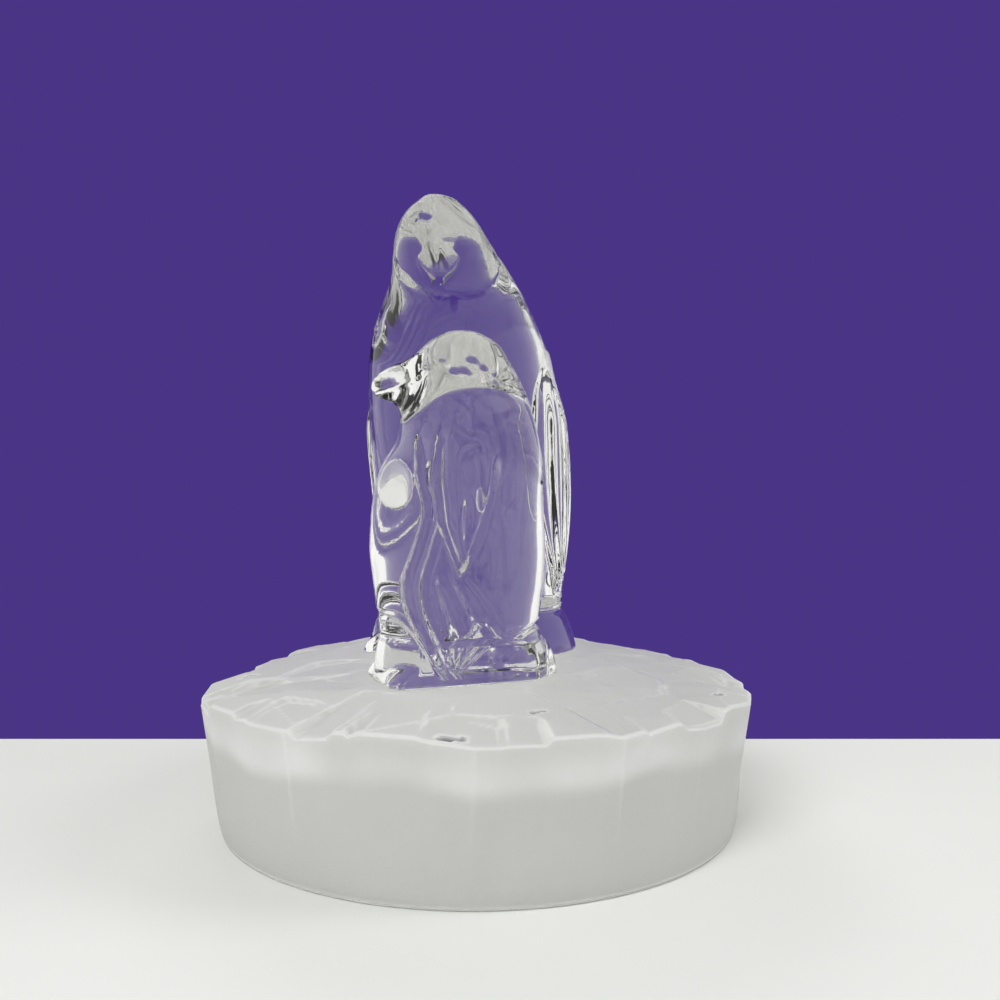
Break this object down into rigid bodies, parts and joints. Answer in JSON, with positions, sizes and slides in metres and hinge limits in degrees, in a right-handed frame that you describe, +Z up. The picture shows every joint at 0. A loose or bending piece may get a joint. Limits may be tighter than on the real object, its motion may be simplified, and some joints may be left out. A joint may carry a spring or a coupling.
{
  "type": "penguin figurine",
  "caption": "Clear glass adult penguin and chick standing on a round frosted ice floe with a faceted rim and a hollow underside.",
  "frame": {"origin": "middle of the ring that the floe stands on, on the table", "axes": "+Z up, -Y towards the side that the ornament is looked at from, +X to that viewer's right"},
  "size_m": [0.1031, 0.1028, 0.1197],
  "materials": {
    "frosted_glass": "acid-frosted, satin, over clear pressed glass",
    "clear_glass": "fire-polished, clear and colourless",
    "bond_film": "clear cured adhesive"
  },
  "bodies": {
    "root": {"ice_floe": "frosted_glass", "adult_bond": "bond_film", "adult_penguin": "clear_glass", "chick_bond": "bond_film", "chick_penguin": "clear_glass"}
  },
  "joints": []
}
